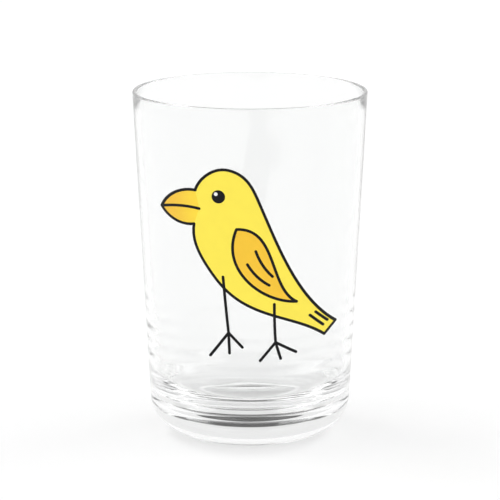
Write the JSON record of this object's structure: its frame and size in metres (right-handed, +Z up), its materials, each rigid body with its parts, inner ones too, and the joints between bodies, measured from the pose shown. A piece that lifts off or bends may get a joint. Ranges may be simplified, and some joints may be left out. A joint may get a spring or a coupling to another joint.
{
  "type": "printed drinking glass",
  "caption": "Clear glass tumbler with a thin rim and a heavy rounded foot, with a cartoon songbird printed on its front.",
  "frame": {"origin": "centre of the bottom of the bounding box: on the tumbler's axis, at the level it stands on", "axes": "+Z up along the tumbler's axis; the print faces -Y, and the bird's beak points to -X"},
  "size_m": [0.075, 0.075, 0.1115],
  "materials": {
    "clear_glass": "polished",
    "ink_white": "satin",
    "ink_yellow": "satin",
    "ink_gold": "satin",
    "ink_orange": "satin",
    "ink_black": "satin"
  },
  "bodies": {
    "root": {"tumbler": "clear_glass", "ink_white_underbase": "ink_white", "ink_eye_glint_white": "ink_white", "ink_body_yellow": "ink_yellow", "ink_wing_gold": "ink_gold", "ink_beak_upper_orange": "ink_orange", "ink_beak_lower_orange": "ink_orange", "ink_outline_black": "ink_black", "ink_beak_line_black": "ink_black", "ink_wing_outline_black": "ink_black", "ink_wing_feather_lines_black": "ink_black", "ink_tail_feather_lines_black": "ink_black", "ink_eye_black": "ink_black", "ink_leg_left_black": "ink_black", "ink_leg_right_black": "ink_black"}
  },
  "joints": []
}
